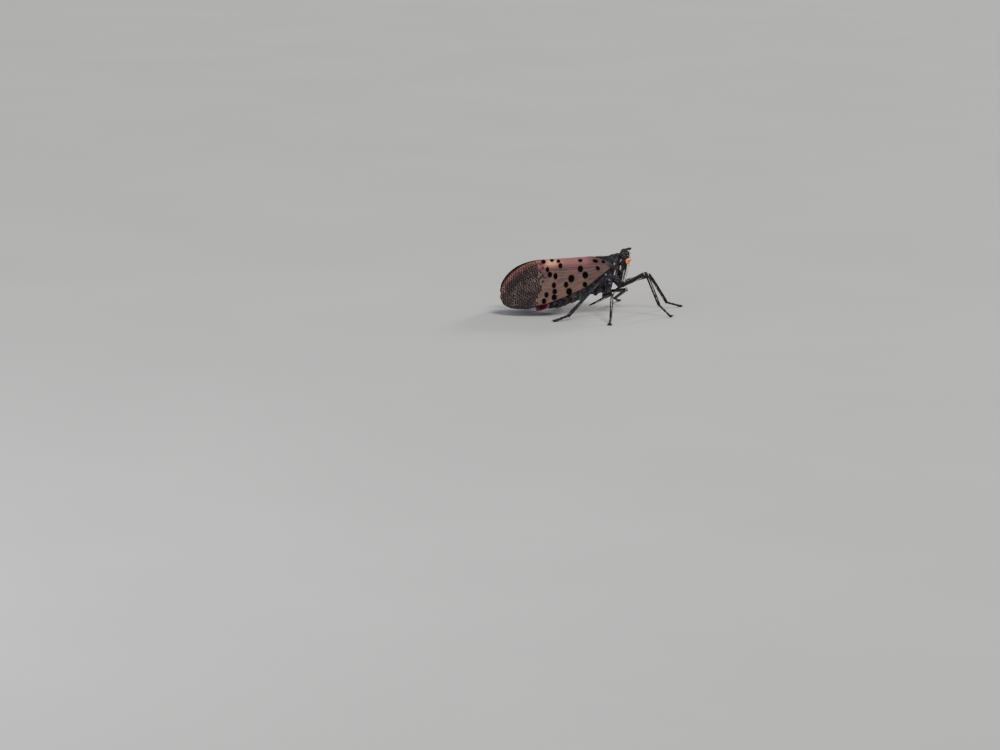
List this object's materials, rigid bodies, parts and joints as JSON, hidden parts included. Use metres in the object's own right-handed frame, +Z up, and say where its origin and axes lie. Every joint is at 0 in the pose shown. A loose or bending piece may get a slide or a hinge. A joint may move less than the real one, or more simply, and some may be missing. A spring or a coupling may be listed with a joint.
{
  "type": "spotted lanternfly model",
  "caption": "Still, life-size model of an adult spotted lanternfly standing on its feet, with spotted wings folded like a roof, a beak and short orange antennae.",
  "frame": {"origin": "on the floor, under the middle of the whole insect", "axes": "+X from tail to head, +Y to the insect's left, +Z up"},
  "size_m": [0.0344, 0.026, 0.0121],
  "materials": {
    "cuticle": "near-black head with pale ridges",
    "eye": "dark maroon, glossy, finely faceted",
    "antenna": "bright orange, warty",
    "thorax": "grey-brown with a pale bloom on its ridges",
    "abdomen": "dull yellow with black bands and a white bloom",
    "forewing": "pinkish grey with black spots, the hind third dark with a fine pale net",
    "hindwing": "red with black spots, a white band and a black end",
    "leg": "grey-black, satin, with paler edges"
  },
  "bodies": {
    "root": {"head": "cuticle", "eye_left": "eye", "eye_right": "eye", "antenna_left": "antenna", "antenna_right": "antenna", "collar": "thorax", "thorax": "thorax", "shoulder_scale_left": "thorax", "shoulder_scale_right": "thorax", "abdomen": "abdomen", "forewing_left": "forewing", "forewing_right": "forewing", "hindwing_left": "hindwing", "hindwing_right": "hindwing", "beak": "leg", "coxa_front_left": "leg", "femur_front_left": "leg", "tibia_front_left": "leg", "tarsus_front_left": "leg", "coxa_front_right": "leg", "femur_front_right": "leg", "tibia_front_right": "leg", "tarsus_front_right": "leg", "coxa_mid_left": "leg", "femur_mid_left": "leg", "tibia_mid_left": "leg", "tarsus_mid_left": "leg", "coxa_mid_right": "leg", "femur_mid_right": "leg", "tibia_mid_right": "leg", "tarsus_mid_right": "leg", "coxa_hind_left": "leg", "femur_hind_left": "leg", "tibia_hind_left": "leg", "tarsus_hind_left": "leg", "coxa_hind_right": "leg", "femur_hind_right": "leg", "tibia_hind_right": "leg", "tarsus_hind_right": "leg"}
  },
  "joints": []
}
